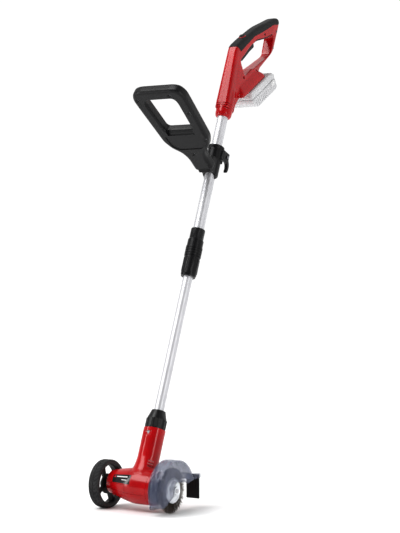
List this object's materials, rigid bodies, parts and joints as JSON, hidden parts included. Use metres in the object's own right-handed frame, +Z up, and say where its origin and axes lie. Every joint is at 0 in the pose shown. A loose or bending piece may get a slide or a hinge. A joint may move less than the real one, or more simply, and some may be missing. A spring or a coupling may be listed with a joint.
{
  "type": "walk-behind wire-brush edge and joint cleaner",
  "caption": "Walk-behind garden edge cleaner: wire brush under a clear guard, support wheel, telescopic tube, loop handle and switch handle with battery.",
  "frame": {"origin": "on the ground, below the middle of the whole machine in width and depth", "axes": "+Z up, +X from the support wheel towards the brush, +Y back towards the user; the tube leans back towards +Y"},
  "size_m": [0.2026, 0.663, 1.1534],
  "materials": {
    "red_housing": "glossy moulded ABS",
    "label_black": "gloss label",
    "screw_steel": "zinc plated",
    "motor_steel": "drawn can",
    "black_plastic": "fine texture",
    "bronze": "sintered",
    "gear_steel": "machined",
    "seal_rubber": "soft",
    "zinc_plate": "bright zinc",
    "bristle_wire": "twisted wire",
    "smoke_guard": "clear smoke polycarbonate",
    "flap_rubber": "ribbed",
    "wheel_plastic": "satin",
    "tyre_rubber": "tread",
    "tube_aluminium": "satin anodised",
    "cable_rubber": "coiled lead",
    "collet_nylon": "natural nylon",
    "handle_black": "spark-eroded texture",
    "grip_rubber": "soft overmould",
    "button_black": "satin",
    "pack_grey": "pale grey",
    "cell_wrap": "shrink wrap",
    "button_grey": "pale grey"
  },
  "bodies": {
    "head": {"head_shell_front": "red_housing", "head_shell_rear": "red_housing", "label_plate": "label_black", "head_screws": "screw_steel", "motor_can": "motor_steel", "motor_end_cap": "black_plastic", "motor_plate": "black_plastic", "spindle_bush": "bronze", "idler_shaft": "gear_steel", "bearing_outer_race": "gear_steel", "bearing_balls": "gear_steel", "gear_nose": "black_plastic", "nose_seal": "seal_rubber", "guard": "smoke_guard", "guard_screws": "screw_steel", "flap": "flap_rubber", "flap_screws": "screw_steel", "wheel_axle": "gear_steel", "wheel_cap": "black_plastic", "lower_tube": "tube_aluminium", "coiled_cable": "cable_rubber"},
    "motor_rotor": {"rotor": "motor_steel"},
    "idler": {"idler_gear": "gear_steel"},
    "brush": {"output_gear": "gear_steel", "spindle": "gear_steel", "bearing_inner_race": "gear_steel", "inner_flange": "zinc_plate", "brush_hub": "zinc_plate", "brush_bristles": "bristle_wire", "outer_flange": "zinc_plate", "brush_nut": "zinc_plate"},
    "wheel": {"wheel_rim": "wheel_plastic", "wheel_tyre": "tyre_rubber"},
    "union_nut": {"union_nut": "black_plastic"},
    "upper_assembly": {"upper_tube": "tube_aluminium", "clamp_body": "black_plastic", "clamp_collet": "collet_nylon", "handle_shell_left": "red_housing", "handle_shell_right": "red_housing", "handle_grip": "grip_rubber", "handle_screws": "screw_steel", "switch_module": "black_plastic", "terminal_block": "black_plastic"},
    "lock_sleeve": {"lock_sleeve": "black_plastic"},
    "loop_handle": {"loop_bracket": "black_plastic", "loop_shell_top": "handle_black", "loop_shell_bottom": "handle_black", "loop_screws": "screw_steel", "lever_pin": "screw_steel"},
    "clamp_lever": {"clamp_lever": "black_plastic"},
    "trigger": {"trigger": "black_plastic"},
    "lock_off_button": {"lock_off_button": "button_black"},
    "battery": {"pack_case_top": "pack_grey", "pack_case_bottom": "pack_grey", "pack_cells": "cell_wrap"},
    "battery_button_left": {"pack_button_left": "button_grey"},
    "battery_button_right": {"pack_button_right": "button_grey"}
  },
  "joints": [
    {"name": "brush_spin", "type": "hinge", "parent": "head", "child": "brush", "pos_m": [0.08125, -0.26383, 0.05], "axis": [1, 0, 0], "continuous": true},
    {"name": "idler_spin", "type": "hinge", "parent": "head", "child": "idler", "pos_m": [0.01125, -0.26934, 0.07026], "axis": [1, 0, 0], "continuous": true},
    {"name": "motor_spin", "type": "hinge", "parent": "head", "child": "motor_rotor", "pos_m": [-0.02375, -0.26005, 0.05926], "axis": [1, 0, 0], "continuous": true},
    {"name": "wheel_spin", "type": "hinge", "parent": "head", "child": "wheel", "pos_m": [-0.08775, -0.26383, 0.053], "axis": [1, 0, 0], "continuous": true},
    {"name": "union_nut_turn", "type": "hinge", "parent": "head", "child": "union_nut", "pos_m": [0.00625, -0.20716, 0.18888], "axis": [0, 0.3778, 0.9259], "range_deg": [0, 330]},
    {"name": "telescope_slide", "type": "slide", "parent": "head", "child": "upper_assembly", "axis": [0, 0.3778, 0.9259], "range_m": [-0.2, 0.1]},
    {"name": "clamp_twist", "type": "hinge", "parent": "upper_assembly", "child": "lock_sleeve", "pos_m": [0.00625, -0.06736, 0.53145], "axis": [0, 0.3778, 0.9259], "range_deg": [0, 90]},
    {"name": "loop_handle_slide", "type": "slide", "parent": "upper_assembly", "child": "loop_handle", "axis": [0, 0.3778, 0.9259], "range_m": [-0.1, 0.06]},
    {"name": "clamp_lever_swing", "type": "hinge", "parent": "loop_handle", "child": "clamp_lever", "pos_m": [0.01825, 0.0583, 0.78907], "axis": [1, 0, 0], "range_deg": [0, 75]},
    {"name": "trigger_pull", "type": "slide", "parent": "upper_assembly", "child": "trigger", "axis": [0, -0.6221, 0.783], "range_m": [0, 0.004], "stiffness_N_per_m": 900, "springref_m": -0.002},
    {"name": "lock_off_press", "type": "slide", "parent": "upper_assembly", "child": "lock_off_button", "axis": [0, 0.4741, -0.8805], "range_m": [0, 0.003], "stiffness_N_per_m": 800, "springref_m": -0.002},
    {"name": "battery_slide", "type": "slide", "parent": "upper_assembly", "child": "battery", "axis": [0, 0.859, 0.512], "range_m": [0, 0.11]},
    {"name": "battery_button_left_press", "type": "slide", "parent": "battery", "child": "battery_button_left", "axis": [1, 0, 0], "range_m": [0, 0.0025], "stiffness_N_per_m": 600, "springref_m": -0.002},
    {"name": "battery_button_right_press", "type": "slide", "parent": "battery", "child": "battery_button_right", "axis": [-1, 0, 0], "range_m": [0, 0.0025], "stiffness_N_per_m": 600, "springref_m": -0.002}
  ],
  "couplings": [
    {"joint": "idler_spin", "follows": "brush_spin", "ratio": -4},
    {"joint": "motor_spin", "follows": "brush_spin", "ratio": 12}
  ]
}
